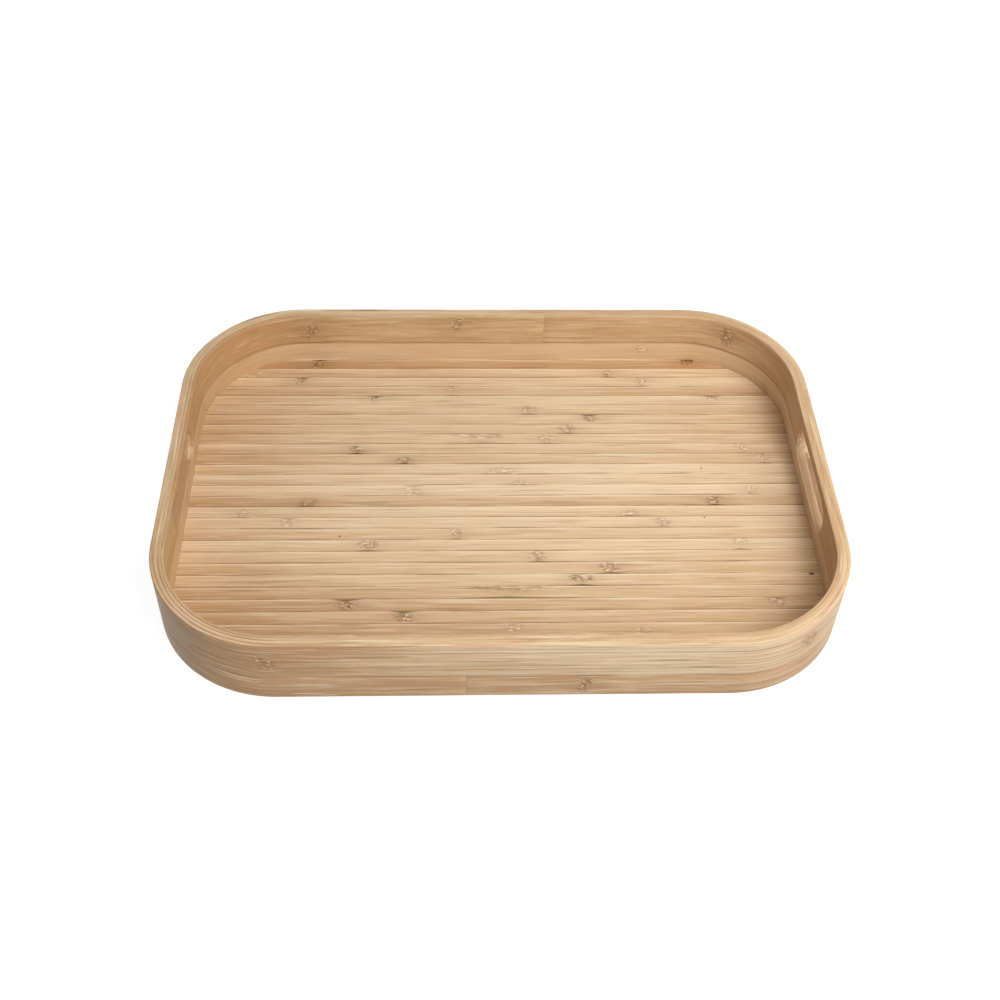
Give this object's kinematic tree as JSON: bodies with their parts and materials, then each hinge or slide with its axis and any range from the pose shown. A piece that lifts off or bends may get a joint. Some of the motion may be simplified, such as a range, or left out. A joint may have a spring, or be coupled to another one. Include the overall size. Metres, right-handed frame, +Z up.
{
  "type": "serving tray",
  "caption": "Rectangular bamboo serving tray with rounded corners, a low bent-laminated rim, a strip-laminated floor and a hand slot through each short side.",
  "frame": {"origin": "centre of the footprint, on the surface that the tray stands on", "axes": "+X along the length, from one hand slot to the other; +Y towards the rear long side; +Z up"},
  "size_m": [0.45, 0.32, 0.052],
  "materials": {
    "bamboo_rim_outer": "satin clear-coated bamboo",
    "bamboo_rim_core": "satin clear-coated bamboo",
    "bamboo_rim_inner_upper": "satin clear-coated bamboo, darker band",
    "bamboo_rim_inner_lower": "satin clear-coated bamboo, paler band",
    "bamboo_floor": "satin clear-coated bamboo strip",
    "bamboo_floor_dark": "satin clear-coated bamboo strip, carbonised tone",
    "bamboo_core": "bare bamboo, hidden",
    "bamboo_backing": "satin clear-coated bamboo strip"
  },
  "bodies": {
    "root": {"rim_outer_ply_lower": "bamboo_rim_outer", "rim_outer_ply_upper": "bamboo_rim_outer", "rim_second_ply_lower": "bamboo_rim_core", "rim_second_ply_upper": "bamboo_rim_core", "rim_third_ply_lower": "bamboo_rim_core", "rim_third_ply_upper": "bamboo_rim_core", "rim_inner_ply_lower": "bamboo_rim_inner_lower", "rim_inner_ply_upper": "bamboo_rim_inner_upper", "floor_strip_01": "bamboo_floor", "floor_strip_02": "bamboo_floor_dark", "floor_strip_03": "bamboo_floor", "floor_strip_04": "bamboo_floor", "floor_strip_05": "bamboo_floor", "floor_strip_06": "bamboo_floor", "floor_strip_07": "bamboo_floor", "floor_strip_08": "bamboo_floor", "floor_strip_09": "bamboo_floor", "floor_strip_10": "bamboo_floor", "floor_strip_11": "bamboo_floor", "floor_strip_12": "bamboo_floor", "floor_strip_13": "bamboo_floor", "floor_strip_14": "bamboo_floor", "floor_strip_15": "bamboo_floor", "floor_strip_16": "bamboo_floor", "floor_strip_17": "bamboo_floor", "floor_strip_18": "bamboo_floor", "floor_strip_19": "bamboo_floor", "floor_strip_20": "bamboo_floor", "floor_strip_21": "bamboo_floor", "floor_strip_22": "bamboo_floor", "floor_strip_23": "bamboo_floor", "floor_strip_24": "bamboo_floor", "floor_strip_25": "bamboo_floor", "floor_strip_26": "bamboo_floor", "floor_strip_27": "bamboo_floor", "floor_strip_28": "bamboo_floor", "floor_strip_29": "bamboo_floor", "floor_strip_30": "bamboo_floor", "floor_strip_31": "bamboo_floor", "floor_core_ply": "bamboo_core", "floor_backing_strip_01": "bamboo_backing", "floor_backing_strip_02": "bamboo_backing", "floor_backing_strip_03": "bamboo_backing", "floor_backing_strip_04": "bamboo_backing", "floor_backing_strip_05": "bamboo_backing", "floor_backing_strip_06": "bamboo_backing", "floor_backing_strip_07": "bamboo_backing", "floor_backing_strip_08": "bamboo_backing", "floor_backing_strip_09": "bamboo_backing", "floor_backing_strip_10": "bamboo_backing", "floor_backing_strip_11": "bamboo_backing", "floor_backing_strip_12": "bamboo_backing", "floor_backing_strip_13": "bamboo_backing", "floor_backing_strip_14": "bamboo_backing", "floor_backing_strip_15": "bamboo_backing", "floor_backing_strip_16": "bamboo_backing"}
  },
  "joints": []
}
